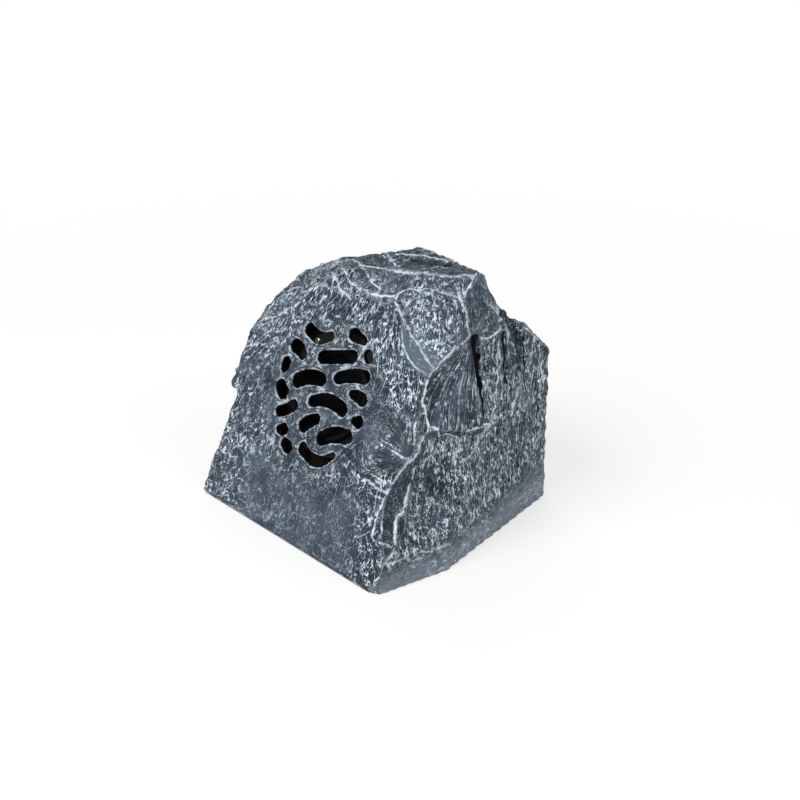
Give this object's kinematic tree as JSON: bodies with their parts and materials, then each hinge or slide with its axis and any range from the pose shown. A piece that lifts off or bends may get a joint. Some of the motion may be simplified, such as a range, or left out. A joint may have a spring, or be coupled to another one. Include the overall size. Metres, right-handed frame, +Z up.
{
  "type": "rock shaped garden loudspeaker",
  "caption": "Hollow cast boulder that stands in a garden, with a grille of bean shaped openings moulded through its leaning front, a loudspeaker driver behind it and a cable gland at the back.",
  "frame": {"origin": "on the ground under the middle of the boulder's box", "axes": "+Z up, -Y towards the listener, +X to the listener's right"},
  "size_m": [0.304, 0.27, 0.2865],
  "materials": {
    "painted_resin": "cast resin, slate grey with pale dry-brushed peaks",
    "fibreboard": "raw medium density fibreboard",
    "plated_steel": "zinc plated",
    "foam": "closed cell foam",
    "black_steel": "satin black powder coat",
    "rubber": "moulded rubber",
    "treated_paper": "coated paper pulp",
    "impregnated_cloth": "resin dipped cotton",
    "coil": "aluminium former with enamelled winding",
    "ferrite": "sintered ferrite",
    "fibre_strip": "pressed fibre",
    "brass": "bare brass",
    "red_insulation": "smooth insulation",
    "black_insulation": "smooth insulation",
    "black_plastic": "moulded nylon"
  },
  "bodies": {
    "cabinet": {"rock_shell": "painted_resin", "baffle_board": "fibreboard", "baffle_screws": "plated_steel", "driver_gasket": "foam", "driver_screws": "plated_steel", "basket": "black_steel", "surround": "rubber", "spider": "impregnated_cloth", "top_plate": "plated_steel", "magnet": "ferrite", "yoke": "plated_steel", "terminal_strip": "fibre_strip", "terminal_tags": "brass", "positive_lead": "red_insulation", "negative_lead": "black_insulation", "terminal_block": "black_plastic", "block_screws": "plated_steel", "base_plate": "black_plastic", "base_gasket": "foam", "base_screws": "plated_steel", "threaded_inserts": "brass", "gland_body": "black_plastic", "gland_seal": "rubber", "gland_dome_nut": "black_plastic", "gland_lock_nut": "black_plastic"},
    "cone_assembly": {"cone": "treated_paper", "dust_cap": "treated_paper", "voice_coil": "coil"}
  },
  "joints": [
    {"name": "cone_travel", "type": "slide", "parent": "cabinet", "child": "cone_assembly", "axis": [0, -0.8988, 0.4384], "range_m": [-0.003, 0.003], "stiffness_N_per_m": 1500, "deforming": ["surround", "spider"]}
  ]
}
